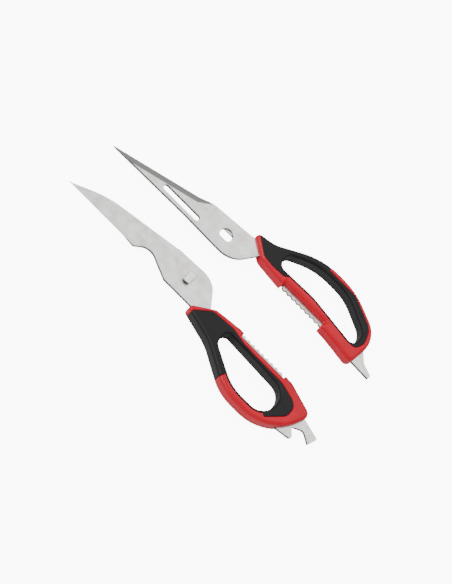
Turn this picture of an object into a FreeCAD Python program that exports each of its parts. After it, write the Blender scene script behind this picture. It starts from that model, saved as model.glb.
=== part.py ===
import FreeCAD, Part
import Sketcher
import math
import os

# Take-apart poultry shears, in millimetres, lying on a table with the two halves side by side.
# Every piece is modelled about the pivot of its own half: the pivot axis is X = Y = 0, the blades
# point along +Y, and Z = 0 is the plane where the two blades meet. A placement then sets each half
# on the table, so that the table is Z = 0 and the origin is under the middle of the whole layout.
# The left half holds the pivot stud, the right half the hole that goes over it.

SIZES = {
    # how far the right half lies from the left one on the table
    "lay_apart_x": 43.65, "lay_apart_y": 3.1,
    # overall sizes
    "left_blade_reach": 103.2, "right_blade_reach": 97.5, "handle_reach": 125.0,
    "handle_thickness": 12.0, "blade_thickness": 2.5,
    # the pivot
    "blade_play": 0.1, "head_length": 9.4, "head_width": 5.5, "head_thickness": 1.05,
    "neck_radius": 2.75, "shank_radius": 3.0, "seat_depth": 1.25,
    "pivot_clearance": 0.3, "head_play": 0.05,
    "washer_radius": 4.5, "washer_room": 0.8, "washer_play": 0.05, "tail_radius": 4.0, "tail_thickness": 0.8,
    # the blades
    "edge_land": 0.35, "left_grind_width": 3.6, "right_grind_width": 5.4, "grind_run": 12.0,
    "scaler_pitch": 1.9, "scaler_radius": 0.8, "scaler_bite": 0.55,
    "slot_width": 4.5, "slot_start": 20.5, "slot_length": 33.5, "slot_middle": -6.85,
    # the handles
    "rim_round": 2.6, "loop_round": 2.0, "pad_depth": 1.4, "liner_thickness": 2.0,
    # the inserts in the handles
    "teeth_thickness": 2.0, "teeth_count": 9.0, "tooth_depth": 1.3, "teeth_bar_width": 8.0,
    "teeth_front": 52.5, "teeth_rear_gap": 33.5, "left_teeth_tip": -1.5, "right_teeth_tip": 1.6,
    "tool_thickness": 2.5, "pin_radius": 1.6, "pin_cover": 2.0,
}

# Outlines: each corner is x, y and the radius that rounds it. The y of a corner is measured from
# the pivot, or from the handle's heel ("heel"), or from the blade's point ("left" or "right").
OUTLINES = {
    "left_rim": [
        (-18.2, -10.6, 2.8, ""), (-26.4, -39.2, 40.0, ""), (-44.8, -68.8, 38.0, ""),
        (-44.8, 13.4, 36.0, "heel"), (-11.6, 1.2, 5.0, "heel"), (-3.4, 25.5, 8.0, "heel"),
        (-2.0, -49.0, 8.0, ""), (-4.6, -28.4, 5.0, ""),
    ],
    "left_loop": [
        (-10.2, -43.8, 4.5, ""), (-21.9, -43.8, 6.0, ""), (-38.1, -71.5, 34.0, ""),
        (-38.1, 24.1, 12.0, "heel"), (-12.9, 24.1, 11.0, "heel"),
    ],
    "left_recess": [
        (-5.3, -53.0, 0.0, ""), (-5.3, 32.0, 0.0, "heel"), (6.0, 32.0, 0.0, "heel"),
        (6.0, -53.0, 0.0, ""),
    ],
    "left_pad": [
        (-34.0, -12.0, 0.0, ""), (-17.8, -17.3, 1.0, ""), (-7.9, -27.4, 5.0, ""),
        (-6.4, -46.0, 8.0, ""), (-9.3, -60.0, 12.0, ""), (-9.6, 30.0, 22.0, "heel"),
        (-14.6, 13.6, 8.0, "heel"), (-25.0, 12.8, 9.0, "heel"), (-37.8, 24.2, 0.0, "heel"),
        (-31.0, 34.0, 0.0, "heel"), (-27.0, -65.6, 0.0, ""), (-54.0, -55.0, 0.0, ""),
    ],
    "left_skin": [
        (-34.0, -12.0, 0.0, ""), (-18.2, -17.7, 0.0, ""), (-24.6, -40.0, 30.0, ""),
        (-36.4, -59.0, 0.0, ""), (-37.6, -61.4, 0.0, ""), (-54.0, -55.0, 0.0, ""),
    ],
    "right_rim": [
        (17.7, -10.9, 2.8, ""), (4.9, -28.6, 6.0, ""), (3.0, -46.0, 0.0, ""),
        (-0.6, 26.2, 0.0, "heel"), (-3.8, 3.2, 4.0, "heel"), (25.0, 0.2, 20.0, "heel"),
        (40.6, 34.1, 55.0, "heel"), (40.6, -59.4, 55.0, ""), (21.0, -28.6, 25.0, ""),
    ],
    "right_loop": [
        (11.5, -40.4, 5.0, ""), (12.7, -73.0, 60.0, ""), (7.2, 9.8, 4.6, "heel"),
        (20.3, 9.8, 11.0, "heel"), (34.0, 36.0, 38.0, "heel"), (34.0, -61.3, 46.0, ""),
        (23.1, -40.4, 6.5, ""),
    ],
    "right_recess": [
        (5.4, -51.5, 0.0, ""), (-8.0, -51.5, 0.0, ""), (-8.0, 35.0, 0.0, "heel"),
        (5.4, 35.0, 0.0, "heel"),
    ],
    "right_pad": [
        (33.0, -11.5, 0.0, ""), (16.6, -17.4, 1.0, ""), (7.6, -28.5, 8.0, ""),
        (6.4, -38.0, 18.0, ""), (7.2, -48.5, 4.0, ""), (15.0, -55.5, 0.0, ""),
        (13.4, 22.0, 0.0, "heel"), (6.0, 18.0, 0.0, "heel"), (6.2, 7.2, 5.0, "heel"),
        (15.0, 5.0, 8.0, "heel"), (25.8, 9.0, 12.0, "heel"), (36.9, 32.0, 0.0, "heel"),
        (36.9, -68.0, 0.0, ""), (54.0, -63.0, 0.0, ""),
    ],
    "right_skin": [
        (33.0, -11.5, 0.0, ""), (16.8, -17.6, 0.0, ""), (20.4, -30.4, 25.0, ""),
        (34.5, -52.6, 40.0, ""), (38.6, -67.5, 0.0, ""), (54.0, -63.0, 0.0, ""),
    ],
    "left_blade": [
        (-12.0, 0.0, 0.0, "left"), (0.9, 78.0, 80.0, ""), (10.9, 18.5, 0.0, ""),
        (12.4, -13.4, 17.0, ""), (-6.4, -26.4, 2.0, ""), (-8.4, -40.0, 2.0, ""),
        (-16.2, -40.0, 2.0, ""), (-13.9, -22.0, 2.0, ""), (-13.9, 11.3, 3.0, ""),
        (-3.6, 32.9, 10.5, ""), (-12.2, 42.1, 0.4, ""),
    ],
    "right_blade": [
        (-12.5, 0.0, 0.0, "right"), (-11.7, 0.0, 0.0, "right"), (10.6, 20.2, 2.0, ""),
        (13.9, -14.0, 0.0, ""), (16.2, -22.0, 2.0, ""), (16.6, -36.6, 2.0, ""),
        (9.0, -36.6, 2.0, ""), (7.4, -26.6, 2.0, ""), (-12.1, -14.8, 19.0, ""),
        (-12.3, 0.0, 0.0, ""), (-11.6, 30.0, 0.0, ""), (-12.4, 88.0, 0.0, ""),
    ],
    "bottle_opener": [
        (-14.0, 13.6, 2.0, "heel"), (-14.5, 3.0, 0.0, "heel"), (-19.0, -12.7, 0.9, "heel"),
        (-26.9, -10.2, 0.5, "heel"), (-21.6, -2.0, 4.0, "heel"), (-25.8, 5.8, 1.5, "heel"),
        (-32.9, -0.4, 1.6, "heel"), (-35.2, 13.4, 1.5, "heel"), (-24.0, 16.4, 2.0, "heel"),
    ],
    "screwdriver": [
        (0.4, 22.0, 1.5, "heel"), (-1.0, -13.4, 0.4, "heel"), (2.0, -13.4, 0.5, "heel"),
        (5.4, -4.6, 6.0, "heel"), (12.0, 1.6, 0.0, "heel"), (8.0, 8.0, 3.0, "heel"),
        (5.2, 22.0, 1.5, "heel"),
    ],
}
DATUMS = {
    "": "", "heel": " - sizes.handle_reach",
    "left": " + sizes.left_blade_reach", "right": " + sizes.right_blade_reach",
}
PINS = {
    "left_tang_pin_front": (-12.0, -27.5, ""), "left_tang_pin_rear": (-12.3, -36.0, ""),
    "left_tail_pin": (-20.5, 9.5, "heel"),
    "right_tang_pin_front": (12.2, -26.6, ""), "right_tang_pin_rear": (12.6, -33.0, ""),
    "right_tail_pin": (3.0, 14.5, "heel"),
}
LETTERS = "abcdefghijklmnop"

doc = FreeCAD.newDocument("poultry_shears")
sheet = doc.addObject("Spreadsheet::Sheet", "sizes")


def datum_height(datum):
    """How far along Y a datum lies from the pivot."""
    heights = {"": 0.0, "heel": -SIZES["handle_reach"], "left": SIZES["left_blade_reach"],
               "right": SIZES["right_blade_reach"]}
    return heights[datum]


def fitted_rounds(corners):
    """The corners' radii, made smaller where a side is too short for the two roundings at its ends."""
    points = [FreeCAD.Vector(x, y + datum_height(datum), 0) for x, y, radius, datum in corners]
    count = len(points)
    slopes = []
    for i, point in enumerate(points):
        turn = (points[i - 1] - point).getAngle(points[(i + 1) % count] - point)
        slopes.append(math.tan(turn / 2))
    lengths = [corners[i][2] / slopes[i] for i in range(count)]
    rounds = []
    for i in range(count):
        share = 1.0
        for j in (i - 1, (i + 1) % count):
            side = (points[j] - points[i]).Length
            if lengths[i] + lengths[j] > side:
                share = min(share, 0.98 * side / (lengths[i] + lengths[j]))
        rounds.append(corners[i][2] * share)
    return rounds


def fill_sheet():
    """Write every size and every outline corner to the sheet, each under its own alias."""
    cells = dict(SIZES)
    for outline, corners in OUTLINES.items():
        for letter, (x, y, radius, datum), fitted in zip(LETTERS, corners, fitted_rounds(corners)):
            cells[f"{outline}_{letter}_x"] = x
            cells[f"{outline}_{letter}_y"] = y
            if radius:
                cells[f"{outline}_{letter}_round"] = fitted
    for name, (x, y, datum) in PINS.items():
        cells[f"{name}_x"] = x
        cells[f"{name}_y"] = y
    for row, (alias, value) in enumerate(cells.items(), 1):
        sheet.set(f"A{row}", alias)
        sheet.set(f"B{row}", str(value))
        sheet.setAlias(f"B{row}", alias)
    doc.recompute()


def size(alias):
    """The value of one cell of the sheet."""
    return float(sheet.get(alias))


def corner_y(outline, index):
    """The y of an outline's corner, measured from the pivot."""
    return size(f"{outline}_{LETTERS[index]}_y") + datum_height(OUTLINES[outline][index][3])


def origin_plane(body, role):
    """One of a body's own origin planes."""
    return next(item for item in body.Origin.OriginFeatures if item.Role == role)


def bind(item, path, formula):
    """Tie one property of a feature to the sheet."""
    item.setExpression(path, formula)


def outline_sketch(body, outline, level):
    """A sketch of an outline's straight sides, at a height, with every corner tied to the sheet."""
    sketch = body.newObject("Sketcher::SketchObject", f"{outline}_outline")
    sketch.AttachmentSupport = (origin_plane(body, "XY_Plane"), [""])
    sketch.MapMode = "FlatFace"
    bind(sketch, "AttachmentOffset.Base.z", level)
    corners = OUTLINES[outline]
    points = []
    for i in range(len(corners)):
        points.append(FreeCAD.Vector(size(f"{outline}_{LETTERS[i]}_x"), corner_y(outline, i), 0))
    for i, start in enumerate(points):
        sketch.addGeometry(Part.LineSegment(start, points[(i + 1) % len(points)]))
    for i in range(len(points)):
        sketch.addConstraint(Sketcher.Constraint("Coincident", i, 2, (i + 1) % len(points), 1))
    for i, point in enumerate(points):
        name = f"{outline}_{LETTERS[i]}"
        across = sketch.addConstraint(Sketcher.Constraint("DistanceX", -1, 1, i, 1, point.x))
        along = sketch.addConstraint(Sketcher.Constraint("DistanceY", -1, 1, i, 1, point.y))
        bind(sketch, f"Constraints[{across}]", f"sizes.{name}_x")
        bind(sketch, f"Constraints[{along}]", f"sizes.{name}_y{DATUMS[corners[i][3]]}")
    return sketch


def upright_edge(shape, x, y):
    """The name of the upright edge of a shape that stands at x, y."""
    for number, edge in enumerate(shape.Edges, 1):
        ends = [vertex.Point for vertex in edge.Vertexes]
        if all(math.hypot(end.x - x, end.y - y) < 1e-4 for end in ends) and len(ends) == 2:
            return f"Edge{number}"
    raise ValueError(f"no upright edge at {x}, {y}")


def round_corners(body, feature, outline):
    """Round each upright corner of an outline's prism or pocket with its own radius."""
    for i, (x, y, radius, datum) in enumerate(OUTLINES[outline]):
        if not radius:
            continue
        name = f"{outline}_{LETTERS[i]}"
        edge = upright_edge(feature.Shape, size(f"{name}_x"), corner_y(outline, i))
        fillet = body.newObject("PartDesign::Fillet", f"{name}_fillet")
        fillet.Base = (feature, [edge])
        bind(fillet, "Radius", f"sizes.{name}_round")
        doc.recompute()
        feature = fillet
    return feature


def prism_body(label, outline, bottom, height):
    """A body that is an outline's prism with rounded corners, from a height and up."""
    body = doc.addObject("PartDesign::Body", label)
    sketch = outline_sketch(body, outline, bottom)
    pad = body.newObject("PartDesign::Pad", f"{label}_pad")
    pad.Profile = sketch
    bind(pad, "Length", height)
    doc.recompute()
    return body, round_corners(body, pad, outline)


def pocket_outline(body, outline):
    """Cut an outline right through a handle form, and round its corners."""
    sketch = outline_sketch(body, outline, "sizes.handle_thickness")
    pocket = body.newObject("PartDesign::Pocket", f"{outline}_pocket")
    pocket.Profile = sketch
    bind(pocket, "Length", "2 * sizes.handle_thickness")
    doc.recompute()
    return round_corners(body, pocket, outline)


def face_edges(shape, level, inside=None):
    """The names of the edges that lie in the plane Z = level, or of those inside a box."""
    names = []
    for number, edge in enumerate(shape.Edges, 1):
        flat = abs(edge.BoundBox.ZMin - level) < 1e-5 and abs(edge.BoundBox.ZMax - level) < 1e-5
        if flat and (inside is None or inside.isInside(edge.BoundBox.Center)):
            names.append(f"Edge{number}")
    return names


def rim_fillet(body, feature, name, radius, inside=None):
    """Round the edges of a form's upper and lower faces."""
    level = size("handle_thickness") / 2
    edges = face_edges(feature.Shape, level, inside) + face_edges(feature.Shape, -level, inside)
    fillet = body.newObject("PartDesign::Fillet", name)
    fillet.Base = (feature, edges)
    bind(fillet, "Radius", radius)
    doc.recompute()
    return fillet


def loop_box(side):
    """A box round a finger loop's opening, which tells its edges from the outer rim's."""
    outline = f"{side}_loop"
    xs = [size(f"{outline}_{LETTERS[i]}_x") for i in range(len(OUTLINES[outline]))]
    ys = [corner_y(outline, i) for i in range(len(OUTLINES[outline]))]
    reach = size("handle_thickness")
    return FreeCAD.BoundBox(min(xs) - 0.1, min(ys) - 0.1, -reach, max(xs) + 0.1, max(ys) + 0.1, reach)


def handle_form(side):
    """The whole outer form of a handle: the recess for the teeth, the rounded rim, and the finger loop."""
    thickness = "sizes.handle_thickness"
    body = prism_body(f"{side}_form", f"{side}_rim", f"-{thickness} / 2", thickness)[0]
    recess = pocket_outline(body, f"{side}_recess")
    rim_fillet(body, recess, f"{side}_rim_fillet", "sizes.rim_round")
    loop = pocket_outline(body, f"{side}_loop")
    rim_fillet(body, loop, f"{side}_loop_fillet", "sizes.loop_round", loop_box(side))
    return body


def boolean(kind, name, first, second):
    """A Part boolean of two objects: Cut, Common or Fuse."""
    result = doc.addObject(f"Part::{kind}", name)
    result.Base = first
    result.Tool = second
    return result


def fuse(name, items):
    """One object fused from several."""
    result = doc.addObject("Part::MultiFuse", name)
    result.Shapes = items
    return result


def grip_zone(side):
    """The space that the soft grip fills: a pad on each face, a skin outside, and the loop's liner."""
    thick = "sizes.handle_thickness"
    height = f"sizes.pad_depth + {thick}"
    upper = prism_body(f"{side}_pad_top", f"{side}_pad", f"{thick} / 2 - sizes.pad_depth", height)[0]
    lower = prism_body(f"{side}_pad_low", f"{side}_pad", f"-1.5 * {thick}", height)[0]
    skin = prism_body(f"{side}_skin_block", f"{side}_skin", f"-{thick}", f"2 * {thick}")[0]
    opening = prism_body(f"{side}_opening", f"{side}_loop", f"-{thick}", thick)[0]
    mouth = doc.addObject("Part::Feature", f"{side}_mouth")
    mouth.Shape = Part.Face(max(opening.Shape.Faces, key=lambda face: face.CenterOfMass.z).OuterWire)
    spread = doc.addObject("Part::Offset2D", f"{side}_spread")
    spread.Source = mouth
    bind(spread, "Value", "sizes.liner_thickness")
    liner = doc.addObject("Part::Extrusion", f"{side}_liner_block")
    liner.Base = spread
    liner.DirMode = "Custom"
    liner.Dir = FreeCAD.Vector(0, 0, 1)
    liner.Solid = True
    liner.Symmetric = True
    bind(liner, "LengthFwd", "2 * sizes.handle_thickness")
    return fuse(f"{side}_grip_zone", [upper, lower, skin, liner])


def half_space(name, level):
    """A block as tall as a handle that covers both halves, standing on a height."""
    box = doc.addObject("Part::Box", name)
    bind(box, "Length", "4 * sizes.handle_reach")
    bind(box, "Width", "4 * sizes.handle_reach")
    bind(box, "Height", "sizes.handle_thickness")
    bind(box, "Placement.Base.x", "-2 * sizes.handle_reach")
    bind(box, "Placement.Base.y", "-2 * sizes.handle_reach")
    bind(box, "Placement.Base.z", level)
    return box


def cylinder(name, radius, height, bottom, x="0", y="0"):
    """An upright cylinder, with its sizes tied to the sheet."""
    item = doc.addObject("Part::Cylinder", name)
    bind(item, "Radius", radius)
    bind(item, "Height", height)
    bind(item, "Placement.Base.x", x)
    bind(item, "Placement.Base.y", y)
    bind(item, "Placement.Base.z", bottom)
    return item


def centred_box(name, length, width, height, bottom):
    """An upright box about the pivot's axis, with its sizes tied to the sheet."""
    box = doc.addObject("Part::Box", name)
    bind(box, "Length", length)
    bind(box, "Width", width)
    bind(box, "Height", height)
    bind(box, "Placement.Base.x", f"-({length}) / 2")
    bind(box, "Placement.Base.y", f"-({width}) / 2")
    bind(box, "Placement.Base.z", bottom)
    return box


def pin(name):
    """A hidden pin that ties an insert between the two shells of a handle."""
    along = f"sizes.{name}_y{DATUMS[PINS[name][2]]}"
    half = "(sizes.handle_thickness / 2 - sizes.pin_cover)"
    return cylinder(name, "sizes.pin_radius", f"2 * {half}", f"-{half}", f"sizes.{name}_x", along)


def teeth_bar(side, direction):
    """The jar teeth of one handle: a flat bar whose outer edge is cut into a row of V-shaped teeth."""
    tip = size(f"{side}_teeth_tip")
    front = -size("teeth_front")
    rear = size("teeth_rear_gap") - size("handle_reach")
    count = int(size("teeth_count"))
    pitch = (front - rear) / count
    root = tip - direction * size("teeth_bar_width")
    low = -size("teeth_thickness") / 2
    points = [(root, front)]
    for number in range(count):
        start = front - number * pitch
        points += [(tip - direction * size("tooth_depth"), start), (tip, start - pitch / 2)]
    points += [(tip - direction * size("tooth_depth"), rear), (root, rear), (root, front)]
    face = Part.Face(Part.makePolygon([FreeCAD.Vector(x, y, low) for x, y in points]))
    bar = doc.addObject("Part::Feature", f"{side}_jar_teeth")
    bar.Shape = face.extrude(FreeCAD.Vector(0, 0, size("teeth_thickness")))
    return bar


def grind(name, start, end, width, upward):
    """The wedge that a cutting edge's grinding takes away, with a slope that runs out at its start."""
    depth = size("blade_thickness") - size("edge_land")
    face = size("blade_play") / 2 + size("blade_thickness")
    forward = FreeCAD.Vector(end.x - start.x, end.y - start.y, 0)
    forward.normalize()
    sign = 1 if upward else -1
    outward = FreeCAD.Vector(forward.y, -forward.x, 0) * sign
    reach = 3.0

    def section(origin, share):
        inner = origin - outward * (width * share)
        outer = origin + outward * reach
        low = face - depth * share * (1 + reach / width)
        corners = [(inner, face), (outer, low), (outer, face + 1.0), (inner, face + 1.0), (inner, face)]
        return Part.makePolygon([FreeCAD.Vector(at.x, at.y, sign * z) for at, z in corners])

    middle = start + forward * size("grind_run")
    ramp = Part.makeLoft([section(start, 0.05), section(middle, 1.0)], True, True)
    slope = Part.makeLoft([section(middle, 1.0), section(end + forward * 6.0, 1.0)], True, True)
    item = doc.addObject("Part::Feature", name)
    item.Shape = ramp.fuse(slope)
    return item


def scaler_bites(form):
    """A row of upright cylinders that bite the fish scaler's fine teeth into the left blade's back."""
    radius = size("scaler_radius")
    level = -size("blade_play") / 2
    tip = FreeCAD.Vector(size("left_blade_a_x"), corner_y("left_blade", 0), 0)
    heel = FreeCAD.Vector(size("left_blade_c_x"), corner_y("left_blade", 2), 0)
    chord = heel - tip
    back = []
    for edge in form.Shape.Edges:
        flat = abs(edge.BoundBox.ZMin - level) < 1e-5 and abs(edge.BoundBox.ZMax - level) < 1e-5
        side = chord.cross(edge.CenterOfMass - tip).z
        if flat and side > 0 and edge.BoundBox.YMin > heel.y - 0.01:
            back.append(edge)
    wire = Part.Wire(Part.__sortEdges__(back))
    away = FreeCAD.Vector(-chord.y, chord.x, 0)
    away.normalize()
    drop = size("blade_thickness") + 1
    cutter = doc.addObject("Part::Feature", "scaler_bites")
    bites = []
    for point in wire.discretize(Distance=size("scaler_pitch"))[1:-2]:
        place = point + away * (radius - size("scaler_bite"))
        bites.append(Part.makeCylinder(radius, drop + 1, FreeCAD.Vector(place.x, place.y, level - drop)))
    cutter.Shape = Part.makeCompound(bites)
    return cutter


def left_blade():
    """The left blade: bone notch and scaler, ground underneath, bored for the stud and the pins."""
    form = prism_body("left_blade_form", "left_blade", "-sizes.blade_play / 2 - sizes.blade_thickness",
                      "sizes.blade_thickness")[0]
    start = FreeCAD.Vector(size("left_blade_k_x"), corner_y("left_blade", 10) - 2, 0)
    end = FreeCAD.Vector(size("left_blade_a_x"), corner_y("left_blade", 0), 0)
    edge = grind("left_grind", start, end, size("left_grind_width"), False)
    bore = cylinder("stud_bore", "sizes.shank_radius", "2 * sizes.handle_thickness", "-sizes.handle_thickness")
    pins = [pin("left_tang_pin_front"), pin("left_tang_pin_rear")]
    cuts = fuse("left_blade_cuts", [edge, scaler_bites(form), bore] + pins)
    return boolean("Cut", "left_blade_part", form, cuts), form


def right_blade():
    """The right blade: ground on top, with its slot and the double-D hole that drops over the stud."""
    form = prism_body("right_blade_form", "right_blade", "sizes.blade_play / 2", "sizes.blade_thickness")[0]
    start = FreeCAD.Vector(size("right_blade_c_x"), corner_y("right_blade", 2), 0)
    end = FreeCAD.Vector(size("right_blade_b_x"), corner_y("right_blade", 1), 0)
    edge = grind("right_grind", start, end, size("right_grind_width"), True)
    top = "sizes.blade_play / 2 + sizes.blade_thickness"
    hole_radius = "sizes.head_length / 2 + sizes.pivot_clearance"
    seat = cylinder("pivot_seat", hole_radius, "sizes.seat_depth + 1", f"{top} - sizes.seat_depth")
    round_hole = cylinder("hole_round", hole_radius, "sizes.handle_thickness", "-1")
    flat_width = "sizes.head_width + sizes.pivot_clearance + 0.2"
    flats = centred_box("hole_flats", flat_width, "2 * sizes.head_length", "sizes.handle_thickness", "-1")
    hole = boolean("Common", "double_d_hole", round_hole, flats)
    start_y = "sizes.slot_start + sizes.slot_width / 2"
    length = "sizes.slot_length - sizes.slot_width"
    ends = []
    for name, along in (("slot_rear", start_y), ("slot_front", f"{start_y} + {length}")):
        ends.append(cylinder(name, "sizes.slot_width / 2", "sizes.handle_thickness", "-1", "sizes.slot_middle", along))
    middle = centred_box("slot_box", "sizes.slot_width", length, "sizes.handle_thickness", "-1")
    bind(middle, "Placement.Base.x", "sizes.slot_middle - sizes.slot_width / 2")
    bind(middle, "Placement.Base.y", start_y)
    cuts = fuse("right_blade_cuts", [edge, seat, hole, middle] + ends
                + [pin("right_tang_pin_front"), pin("right_tang_pin_rear")])
    return boolean("Cut", "right_blade_part", form, cuts), form


def pivot_stud():
    """The stud: a staked tail under the washer, the shank, the neck, and the double-D head."""
    under = "sizes.blade_play / 2 + sizes.blade_thickness + sizes.washer_room"
    neck_top = "sizes.blade_play / 2 + sizes.blade_thickness - sizes.seat_depth + sizes.head_play"
    gap = "sizes.blade_play / 2"
    thickness = "sizes.head_thickness"
    tail = cylinder("stud_tail", "sizes.tail_radius", "sizes.tail_thickness", f"-({under} + sizes.tail_thickness)")
    shank = cylinder("stud_shank", "sizes.shank_radius", f"{under} - {gap}", f"-({under})")
    neck = cylinder("stud_neck", "sizes.neck_radius", f"{neck_top} + {gap}", f"-{gap}")
    disc = cylinder("head_disc", "sizes.head_length / 2", thickness, neck_top)
    flats = centred_box("head_flats", "2 * sizes.head_length", "sizes.head_width", thickness, neck_top)
    head = boolean("Common", "stud_head", disc, flats)
    return fuse("pivot_stud_part", [tail, shank, neck, head])


def stud_washer():
    """The washer that turns freely between the left blade's underside and the stud's staked tail."""
    bottom = "-(sizes.blade_play / 2 + sizes.blade_thickness + sizes.washer_room - sizes.washer_play)"
    thickness = "sizes.washer_room - 2 * sizes.washer_play"
    disc = cylinder("washer_disc", "sizes.washer_radius", thickness, bottom)
    hole = cylinder("washer_hole", "sizes.shank_radius + sizes.washer_play", thickness, bottom)
    return boolean("Cut", "stud_washer_part", disc, hole)


def handle(side, inserts):
    """The soft grip and the two shells of a handle, with pockets for everything they hold."""
    form = handle_form(side)
    zone = grip_zone(side)
    held = fuse(f"{side}_held", inserts)
    soft = boolean("Common", f"{side}_soft", form, zone)
    hard = boolean("Cut", f"{side}_hard", form, zone)
    grip = boolean("Cut", f"{side}_soft_grip_part", soft, held)
    core = boolean("Cut", f"{side}_core", hard, held)
    above = half_space(f"{side}_above", "0")
    below = half_space(f"{side}_below", "-sizes.handle_thickness")
    top = boolean("Common", f"{side}_top_shell_part", core, above)
    bottom = boolean("Common", f"{side}_bottom_shell_part", core, below)
    return top, bottom, grip


def tool(side, outline, name):
    """The tool that sticks out of a handle's heel, with the hole for its pin."""
    form = prism_body(f"{outline}_form", outline, "-sizes.tool_thickness / 2", "sizes.tool_thickness")[0]
    return boolean("Cut", name, form, pin(f"{side}_tail_pin")), form


def build():
    """Every sub-part's name, its shape and whether it belongs to the right half."""
    parts = []
    blade, blade_form = left_blade()
    opener, opener_form = tool("left", "bottle_opener", "bottle_opener_part")
    teeth = teeth_bar("left", 1)
    pins = [doc.getObject(name) for name in PINS if name.startswith("left")]
    top, bottom, grip = handle("left", [blade_form, opener_form, teeth] + pins)
    parts += [("left_blade", blade), ("pivot_stud", pivot_stud()), ("stud_washer", stud_washer()),
              ("left_top_shell", top), ("left_bottom_shell", bottom), ("left_soft_grip", grip),
              ("left_jar_teeth", teeth), ("bottle_opener", opener)]
    parts += [(item.Name, item) for item in pins]
    blade, blade_form = right_blade()
    driver, driver_form = tool("right", "screwdriver", "screwdriver_part")
    teeth = teeth_bar("right", -1)
    pins = [doc.getObject(name) for name in PINS if name.startswith("right")]
    top, bottom, grip = handle("right", [blade_form, driver_form, teeth] + pins)
    parts += [("right_blade", blade), ("right_top_shell", top), ("right_bottom_shell", bottom),
              ("right_soft_grip", grip), ("right_jar_teeth", teeth), ("screwdriver_tip", driver)]
    parts += [(item.Name, item) for item in pins]
    return parts


def place_and_export(parts):
    """Set both halves on the table about the layout's middle, and write one file for each sub-part."""
    doc.recompute()
    apart = FreeCAD.Vector(size("lay_apart_x"), size("lay_apart_y"), 0)
    placed = [(label, source, label.startswith(("right_", "screwdriver"))) for label, source in parts]
    box = FreeCAD.BoundBox()
    for label, source, is_right in placed:
        shape = source.Shape.copy()
        if is_right:
            shape.translate(apart)
        box.add(shape.optimalBoundingBox(False))
    centre = FreeCAD.Vector(-(box.XMin + box.XMax) / 2, -(box.YMin + box.YMax) / 2, -box.ZMin)
    os.makedirs("parts", exist_ok=True)
    for label, source, is_right in placed:
        item = doc.addObject("Part::Feature", f"{label}_placed")
        item.Shape = source.Shape.Solids[0]
        item.Label = label
        shift = centre + (apart if is_right else FreeCAD.Vector())
        item.Placement = FreeCAD.Placement(shift, FreeCAD.Rotation()) * item.Placement
        if len(source.Shape.Solids) != 1:
            raise ValueError(f"{label} has {len(source.Shape.Solids)} solids")
    doc.recompute()
    for item in doc.Objects:
        if "Invalid" in item.State or "Error" in item.State:
            raise ValueError(f"{item.Label} didn't build: {item.State}")
    for label, source, is_right in placed:
        shape = doc.getObject(f"{label}_placed").Shape
        if shape.isNull() or not shape.isValid():
            raise ValueError(f"{label} isn't a valid solid")
        shape.exportStep(f"parts/{label}.step")


fill_sheet()
place_and_export(build())
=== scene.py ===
import math
import bpy
from mathutils import Matrix, Vector


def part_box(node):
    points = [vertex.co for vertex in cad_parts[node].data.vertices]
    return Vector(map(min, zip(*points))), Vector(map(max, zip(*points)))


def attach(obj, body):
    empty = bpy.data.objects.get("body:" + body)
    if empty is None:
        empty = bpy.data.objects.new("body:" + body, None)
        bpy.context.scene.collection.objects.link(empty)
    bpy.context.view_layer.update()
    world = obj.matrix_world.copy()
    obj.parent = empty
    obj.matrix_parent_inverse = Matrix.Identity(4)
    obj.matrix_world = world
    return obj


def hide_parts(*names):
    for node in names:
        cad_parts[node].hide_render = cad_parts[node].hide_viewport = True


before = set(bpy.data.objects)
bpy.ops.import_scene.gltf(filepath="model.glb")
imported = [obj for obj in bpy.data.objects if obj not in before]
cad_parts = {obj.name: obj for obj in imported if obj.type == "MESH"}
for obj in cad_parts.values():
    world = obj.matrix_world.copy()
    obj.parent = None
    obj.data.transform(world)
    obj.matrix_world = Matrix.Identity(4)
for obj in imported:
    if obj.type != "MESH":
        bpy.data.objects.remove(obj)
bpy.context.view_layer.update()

# Take-apart poultry shears, in metres. The steel parts are the frame's own solids with a finish of
# their own; the moulded handles are rebuilt with softly crowned faces and rolled seams.

MM = 0.001


# ---------------------------------------------------------------- shader helpers


def add_node(tree, kind, **inputs):
    """A shader node with some of its inputs set."""
    node = tree.nodes.new(kind)
    for name, value in inputs.items():
        node.inputs[name.replace("_", " ")].default_value = value
    return node


def math_node(tree, operation, first, second):
    """A Math node of two inputs, each a socket or a number."""
    node = tree.nodes.new("ShaderNodeMath")
    node.operation = operation
    for socket, value in zip(node.inputs, (first, second)):
        if hasattr(value, "is_output"):
            tree.links.new(value, socket)
        else:
            socket.default_value = value
    return node.outputs[0]


def mix_colours(tree, factor, first, second):
    """A colour mix of two sockets or colours, by a factor socket."""
    node = tree.nodes.new("ShaderNodeMix")
    node.data_type = "RGBA"
    tree.links.new(factor, node.inputs[0])
    for socket, value in zip((node.inputs[6], node.inputs[7]), (first, second)):
        if hasattr(value, "is_output"):
            tree.links.new(value, socket)
        else:
            socket.default_value = (*value, 1.0)
    return node.outputs[2]


def spread(tree, socket, low, high, bottom=0.0, top=1.0):
    """A value mapped from low..high to bottom..top."""
    node = add_node(tree, "ShaderNodeMapRange", From_Min=low, From_Max=high, To_Min=bottom, To_Max=top)
    tree.links.new(socket, node.inputs["Value"])
    return node.outputs["Result"]


def noise(tree, coordinates, scale, detail=3.0, stretch=(1.0, 1.0, 1.0)):
    """Noise on object coordinates, stretched along an axis where wanted."""
    mapping = tree.nodes.new("ShaderNodeMapping")
    mapping.inputs["Scale"].default_value = stretch
    tree.links.new(coordinates, mapping.inputs["Vector"])
    node = add_node(tree, "ShaderNodeTexNoise", Scale=scale, Detail=detail, Roughness=0.55)
    tree.links.new(mapping.outputs["Vector"], node.inputs["Vector"])
    return node.outputs["Fac"]


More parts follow.
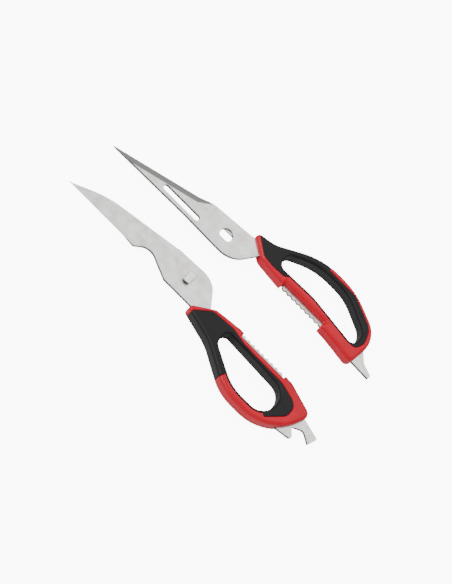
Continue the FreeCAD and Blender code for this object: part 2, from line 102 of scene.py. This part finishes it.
def new_group(name, inputs, outputs):
    """A shader node group with value inputs and value outputs."""
    group = bpy.data.node_groups.new(name, "ShaderNodeTree")
    for label, value in inputs:
        socket = group.interface.new_socket(name=label, in_out="INPUT", socket_type="NodeSocketFloat")
        socket.default_value = value
    for label in outputs:
        group.interface.new_socket(name=label, in_out="OUTPUT", socket_type="NodeSocketFloat")
    return group, group.nodes.new("NodeGroupInput"), group.nodes.new("NodeGroupOutput")


def object_coordinates(tree):
    """The object coordinates' socket."""
    return tree.nodes.new("ShaderNodeTexCoord").outputs["Object"]


def make_blotches():
    """Broad soft blotches with a finer cloud over them, from 0 to 1."""
    inputs = [("Scale", 60.0), ("Fine Scale", 400.0)]
    group, given, result = new_group("soft_blotches", inputs, ["Blotch", "Grain"])
    place = object_coordinates(group)
    clouds = (("Scale", "Blotch", 0.35, 0.65), ("Fine Scale", "Grain", 0.3, 0.7))
    for label, outlet, low, high in clouds:
        cloud = add_node(group, "ShaderNodeTexNoise", Detail=4.0, Roughness=0.6)
        group.links.new(place, cloud.inputs["Vector"])
        group.links.new(given.outputs[label], cloud.inputs["Scale"])
        group.links.new(spread(group, cloud.outputs["Fac"], low, high), result.inputs[outlet])
    return group


def make_edge_shade_and_sheen():
    """A mask of the edges, a given width wide, and a copy of it broken up by noise, from 0 to 1; the steel
    takes painted shade through it and the red plastic a painted highlight.
    """
    group, given, result = new_group("edge_shade_and_sheen", [("Width", 0.0004), ("Breakup", 300.0)], ["Edge", "Patchy Edge"])
    rounded = group.nodes.new("ShaderNodeBevel")
    group.links.new(given.outputs["Width"], rounded.inputs["Radius"])
    likeness = group.nodes.new("ShaderNodeVectorMath")
    likeness.operation = "DOT_PRODUCT"
    group.links.new(rounded.outputs["Normal"], likeness.inputs[0])
    group.links.new(group.nodes.new("ShaderNodeNewGeometry").outputs["Normal"], likeness.inputs[1])
    edge = spread(group, likeness.outputs["Value"], 0.998, 0.93)
    place = object_coordinates(group)
    cloud = add_node(group, "ShaderNodeTexNoise", Detail=3.0)
    group.links.new(place, cloud.inputs["Vector"])
    group.links.new(given.outputs["Breakup"], cloud.inputs["Scale"])
    group.links.new(edge, result.inputs["Edge"])
    patchy_edge = math_node(group, "MULTIPLY", edge, spread(group, cloud.outputs["Fac"], 0.35, 0.65))
    group.links.new(patchy_edge, result.inputs["Patchy Edge"])
    return group


def place_group(tree, group, **values):
    """A node that uses a group, with its values."""
    node = tree.nodes.new("ShaderNodeGroup")
    node.node_tree = group
    for name, value in values.items():
        node.inputs[name.replace("_", " ")].default_value = value
    return node


def new_material(name):
    """A node material, its tree and its Principled shader."""
    material = bpy.data.materials.new(name)
    material.use_nodes = True
    tree = material.node_tree
    return material, tree, tree.nodes["Principled BSDF"]


def bump(tree, shader, height, strength, distance):
    """A bump from a height socket into the shader's normal."""
    node = add_node(tree, "ShaderNodeBump", Strength=strength, Distance=distance)
    tree.links.new(height, node.inputs["Height"])
    tree.links.new(node.outputs["Normal"], shader.inputs["Normal"])


# ---------------------------------------------------------------- materials


def steel(name, light, dark, slope_shade, roughness, lines, rim=0.0004, shade=0.8):
    """Satin stainless steel: mottling, fine polishing lines, a rougher bevel whose darker colour is painted
    shade on every tilted face, and painted shade on the side walls and along every edge.
    """
    material, tree, shader = new_material(name)
    place = object_coordinates(tree)
    shader.inputs["Metallic"].default_value = 1.0
    blotches = place_group(tree, BLOTCHES, Scale=140.0, Fine_Scale=900.0)
    streaks = noise(tree, place, 260.0, 4.0, lines)
    mottled = mix_colours(tree, blotches.outputs["Blotch"], dark, light)
    streaky = mix_colours(tree, spread(tree, streaks, 0.3, 0.7, 0.0, 0.5), mottled, light)
    facing = tree.nodes.new("ShaderNodeSeparateXYZ")
    tree.links.new(tree.nodes.new("ShaderNodeNewGeometry").outputs["Normal"], facing.inputs[0])
    upright = math_node(tree, "ABSOLUTE", facing.outputs["Z"], 0.0)
    # Faces that tilt slightly away from flat, such as the blade's bevel, take the darker slope colour as
    # painted shade; the extra roughness they get below is the real grinding finish.
    slope = spread(tree, upright, 0.995, 0.96)
    body = mix_colours(tree, slope, streaky, slope_shade)
    # Painted shade: the steel's side walls turn dark grey the more upright they stand.
    side_shaded = mix_colours(tree, spread(tree, upright, 0.7, 0.3), body, STEEL_SIDE_SHADE)
    # Painted shade: a dark band along every edge, as dark as the shade factor allows.
    edge_masks = place_group(tree, EDGE_SHADE_AND_SHEEN, Width=rim, Breakup=700.0)
    edge = spread(tree, edge_masks.outputs["Edge"], 0.0, 1.0, 0.0, shade)
    tree.links.new(mix_colours(tree, edge, side_shaded, STEEL_EDGE_SHADE), shader.inputs["Base Color"])
    dull = spread(tree, blotches.outputs["Grain"], 0.0, 1.0, roughness - 0.05, roughness + 0.07)
    rougher = math_node(tree, "MULTIPLY", slope, GROUND_ROUGHER)
    tree.links.new(math_node(tree, "ADD", dull, rougher), shader.inputs["Roughness"])
    bump(tree, shader, streaks, 0.12, 0.00004)
    return material


def moulded_plastic():
    """Glossy red ABS with a faint moulded skin and a painted highlight along its edges."""
    material, tree, shader = new_material("red_abs")
    shader.inputs["Specular IOR Level"].default_value = 0.2
    shader.inputs["Coat Weight"].default_value = 0.05
    shader.inputs["Coat Roughness"].default_value = 0.12
    blotches = place_group(tree, BLOTCHES, Scale=45.0, Fine_Scale=1400.0)
    edge_masks = place_group(tree, EDGE_SHADE_AND_SHEEN, Width=0.0004, Breakup=500.0)
    body = mix_colours(tree, blotches.outputs["Blotch"], RED_DEEP, RED)
    # Painted highlight: a paler red along the edges, in patches.
    tree.links.new(mix_colours(tree, edge_masks.outputs["Patchy Edge"], body, RED_EDGE_HIGHLIGHT), shader.inputs["Base Color"])
    tree.links.new(spread(tree, blotches.outputs["Grain"], 0.0, 1.0, 0.26, 0.38), shader.inputs["Roughness"])
    bump(tree, shader, blotches.outputs["Grain"], 0.03, 0.00003)
    return material


def soft_rubber():
    """Matt black thermoplastic rubber with a fine spark-eroded grain and slightly paler edges in patches."""
    material, tree, shader = new_material("black_rubber")
    shader.inputs["Specular IOR Level"].default_value = 0.28
    shader.inputs["Sheen Weight"].default_value = 0.03
    shader.inputs["Sheen Roughness"].default_value = 0.5
    blotches = place_group(tree, BLOTCHES, Scale=60.0, Fine_Scale=2200.0)
    edge_masks = place_group(tree, EDGE_SHADE_AND_SHEEN, Width=0.0005, Breakup=400.0)
    body = mix_colours(tree, blotches.outputs["Blotch"], BLACK_DEEP, BLACK)
    # Slightly paler black along the edges, in patches.
    tree.links.new(mix_colours(tree, edge_masks.outputs["Patchy Edge"], body, BLACK_PALE_EDGE), shader.inputs["Base Color"])
    tree.links.new(spread(tree, blotches.outputs["Grain"], 0.0, 1.0, 0.46, 0.6), shader.inputs["Roughness"])
    bump(tree, shader, blotches.outputs["Grain"], 0.35, 0.00006)
    return material


def floor_paint():
    """A plain pale floor with the faintest cloud in it."""
    material, tree, shader = new_material("pale_floor")
    cloud = noise(tree, object_coordinates(tree), FLOOR_CLOUD)
    tree.links.new(mix_colours(tree, cloud, (0.9, 0.9, 0.9), (0.93, 0.93, 0.93)), shader.inputs["Base Color"])
    shader.inputs["Emission Color"].default_value = (1, 1, 1, 1)
    seen = tree.nodes.new("ShaderNodeLightPath").outputs["Is Camera Ray"]
    tree.links.new(math_node(tree, "MULTIPLY", seen, FLOOR_GLOW), shader.inputs["Emission Strength"])
    shader.inputs["Roughness"].default_value = 0.9
    shader.inputs["Specular IOR Level"].default_value = 0.1
    return material


RED = (0.6, 0.0, 0.018)
RED_DEEP = (0.5, 0.0, 0.014)
# Painted highlight colour for the red mouldings' edges.
RED_EDGE_HIGHLIGHT = (0.64, 0.012, 0.03)
BLACK = (0.007, 0.0065, 0.007)
BLACK_DEEP = (0.004, 0.0035, 0.004)
# Paler black for the grip's edges.
BLACK_PALE_EDGE = (0.016, 0.016, 0.0165)
# Painted shade colours for the steel's side walls and edges.
STEEL_SIDE_SHADE = (0.12, 0.117, 0.113)
STEEL_EDGE_SHADE = (0.1, 0.098, 0.095)
FLOOR_GLOW = 9.0
FLOOR_CLOUD = 6.0
GROUND_ROUGHER = 0.08
BLOTCHES = make_blotches()
EDGE_SHADE_AND_SHEEN = make_edge_shade_and_sheen()
# Each steel's slope colour below is painted shade for its tilted faces.
BLADE_STEEL = steel(
    "blade_steel", light=(0.90, 0.89, 0.875), dark=(0.62, 0.6, 0.57), slope_shade=(0.34, 0.335, 0.33),
    roughness=0.3, lines=(1.0, 0.05, 1.0))
FITTING_STEEL = steel(
    "fitting_steel", light=(0.84, 0.83, 0.81), dark=(0.62, 0.6, 0.57), slope_shade=(0.5, 0.49, 0.48),
    roughness=0.28, lines=(0.2, 1.0, 1.0))
# The stud's painted edge shade is wider and fully dark, and its near-black slope colour is painted shade too.
STUD_STEEL = steel(
    "stud_steel", light=(0.92, 0.91, 0.9), dark=(0.8, 0.79, 0.77), slope_shade=(0.2, 0.2, 0.2),
    roughness=0.22, lines=(1.0, 1.0, 1.0), rim=0.0008, shade=1.0)
RED_ABS = moulded_plastic()
RUBBER = soft_rubber()

FINISHES = {
    "left_blade": BLADE_STEEL,
    "right_blade": BLADE_STEEL,
    "pivot_stud": STUD_STEEL,
}


def finish_steel():
    """Give the blades and the stud their finish, and every other solid of the frame the fittings' finish."""
    for name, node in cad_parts.items():
        for slot in node.material_slots:
            slot.link = "OBJECT"
            slot.material = FINISHES.get(name, FITTING_STEEL)


# ---------------------------------------------------------------- moulded handles

GRAIN = 0.42 * MM
MERGE_DISTANCE = 0.01 * MM
HANDLE_ROUNDS = 4
GRIP_ROUNDS = 5
BLOCK_WIDTH = 0.3
BLOCK_DEPTH = 0.1
SMOOTH_ANGLE = math.radians(50)
BODIES = {"left": "left_half", "right": "right_half"}


def pick_only(item):
    """Select one object and make it active."""
    bpy.ops.object.select_all(action="DESELECT")
    item.select_set(True)
    bpy.context.view_layer.objects.active = item


def copy_of(node_name, name):
    """A free copy of a frame solid, with its own mesh and its doubled points merged."""
    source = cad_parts[node_name]
    piece = source.copy()
    piece.data = source.data.copy()
    piece.name = name
    piece.data.name = name
    piece.parent = None
    piece.matrix_world = Matrix.Identity(4)
    bpy.context.scene.collection.objects.link(piece)
    pick_only(piece)
    bpy.ops.object.mode_set(mode="EDIT")
    bpy.ops.mesh.select_all(action="SELECT")
    bpy.ops.mesh.remove_doubles(threshold=MERGE_DISTANCE)
    bpy.ops.object.mode_set(mode="OBJECT")
    return piece


def roll_edges(piece, rounds):
    """Remesh a moulding to an even skin and relax it, so that its edges roll and its faces crown."""
    pick_only(piece)
    remesh = piece.modifiers.new("even_skin", "REMESH")
    remesh.mode = "VOXEL"
    remesh.voxel_size = GRAIN
    bpy.ops.object.modifier_apply(modifier=remesh.name)
    relax = piece.modifiers.new("rolled_edges", "SMOOTH")
    relax.factor = 0.5
    relax.iterations = rounds
    bpy.ops.object.modifier_apply(modifier=relax.name)


def keep_half(piece, box, height, upper):
    """Cut a moulding at its parting plane with a block, and keep one side of it."""
    low, high = Vector(box[0]), Vector(box[1])
    bpy.ops.object.select_all(action="DESELECT")
    middle = (low + high) / 2
    bpy.ops.mesh.primitive_cube_add(size=1.0, location=(middle.x, middle.y, height))
    block = bpy.context.object
    bpy.ops.transform.resize(value=(BLOCK_WIDTH, BLOCK_WIDTH, BLOCK_DEPTH))
    lift = BLOCK_DEPTH / 2 if upper else -BLOCK_DEPTH / 2
    bpy.ops.transform.translate(value=(0, 0, lift))
    bpy.ops.object.transform_apply(location=True, rotation=True, scale=True)
    pick_only(piece)
    part = piece.modifiers.new("parting", "BOOLEAN")
    part.operation = "INTERSECT"
    part.solver = "EXACT"
    part.object = block
    bpy.ops.object.modifier_apply(modifier=part.name)
    bpy.data.objects.remove(block)


def finish_moulding(piece, material, body, slot, *nodes):
    """Give a moulding its finish, and say what it rides on and stands for."""
    piece.data.materials.clear()
    piece.data.materials.append(material)
    pick_only(piece)
    bpy.ops.object.shade_smooth_by_angle(angle=SMOOTH_ANGLE)
    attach(piece, body)
    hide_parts(*nodes)


def mould_shells(side):
    """A handle's two shells, joined and relaxed as one and then parted where they meet."""
    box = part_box(f"{side}_top_shell")
    parting = box[0][2]
    upper = copy_of(f"{side}_top_shell", f"{side}_top_moulding")
    under = copy_of(f"{side}_bottom_shell", f"{side}_bottom_moulding")
    bpy.ops.object.select_all(action="DESELECT")
    under.select_set(True)
    upper.select_set(True)
    bpy.context.view_layer.objects.active = upper
    bpy.ops.object.join()
    roll_edges(upper, HANDLE_ROUNDS)
    lower = upper.copy()
    lower.data = upper.data.copy()
    lower.name = f"{side}_bottom_moulding"
    lower.data.name = lower.name
    bpy.context.scene.collection.objects.link(lower)
    keep_half(upper, box, parting, True)
    keep_half(lower, box, parting, False)
    return upper, lower


def mould_handle(side):
    """A handle's two mouldings and its soft grip."""
    body = BODIES[side]
    upper, lower = mould_shells(side)
    finish_moulding(upper, RED_ABS, body, "red_plastic", f"{side}_top_shell")
    finish_moulding(lower, RED_ABS, body, "red_plastic", f"{side}_bottom_shell")
    grip = copy_of(f"{side}_soft_grip", f"{side}_rubber_grip")
    roll_edges(grip, GRIP_ROUNDS)
    finish_moulding(grip, RUBBER, body, "black_rubber", f"{side}_soft_grip")


# ---------------------------------------------------------------- the set

VIEW_RISE = math.radians(60.0)
VIEW_ROLL = math.radians(44.9)
AIM = Vector((-6.9, -7.2, 6.0)) * MM
FRAME_HEIGHT = 396.8 * MM
LENS = 135.0
SENSOR = 36.0
FLOOR_SIZE = 12.0
WORLD_STRENGTH = 0.7


def lay_floor():
    """A wide pale floor under the shears."""
    bpy.ops.object.select_all(action="DESELECT")
    bpy.ops.mesh.primitive_plane_add(size=FLOOR_SIZE, location=(0, 0, 0))
    floor = bpy.context.object
    floor.name = "floor"
    floor.data.materials.append(floor_paint())


def hang_light(name, place, size, watts):
    """A large soft square light that faces the shears."""
    data = bpy.data.lights.new(name, "AREA")
    data.energy = watts
    data.size = size
    light = bpy.data.objects.new(name, data)
    light.location = place
    light.rotation_euler = (-Vector(place)).to_track_quat("-Z", "Y").to_euler()
    bpy.context.scene.collection.objects.link(light)


def set_world(strength):
    """An even white surround."""
    world = bpy.data.worlds.new("studio")
    world.use_nodes = True
    world.node_tree.nodes["Background"].inputs["Color"].default_value = (1, 1, 1, 1)
    world.node_tree.nodes["Background"].inputs["Strength"].default_value = strength
    bpy.context.scene.world = world


def set_camera():
    """A long lens that looks down from the left, with the blades' points to the upper left."""
    towards_camera = Vector((-math.cos(VIEW_RISE), 0, math.sin(VIEW_RISE)))
    level_right = Vector((0, -1, 0))
    level_up = towards_camera.cross(level_right)
    right = level_right * math.cos(VIEW_ROLL) + level_up * math.sin(VIEW_ROLL)
    up = level_up * math.cos(VIEW_ROLL) - level_right * math.sin(VIEW_ROLL)
    data = bpy.data.cameras.new("camera")
    data.lens = LENS
    data.sensor_width = SENSOR
    data.clip_start = 0.05
    data.clip_end = 50.0
    camera = bpy.data.objects.new("camera", data)
    camera.location = AIM + towards_camera * (FRAME_HEIGHT * LENS / SENSOR)
    camera.rotation_euler = Matrix((right, up, towards_camera)).transposed().to_euler()
    bpy.context.scene.collection.objects.link(camera)
    bpy.context.scene.camera = camera


finish_steel()
mould_handle("left")
mould_handle("right")
lay_floor()
set_world(WORLD_STRENGTH)
hang_light("key", place=(-0.5, 0.7, 1.3), size=0.7, watts=16.0)
hang_light("fill", place=(0.9, -0.3, 1.2), size=1.3, watts=7.0)
set_camera()
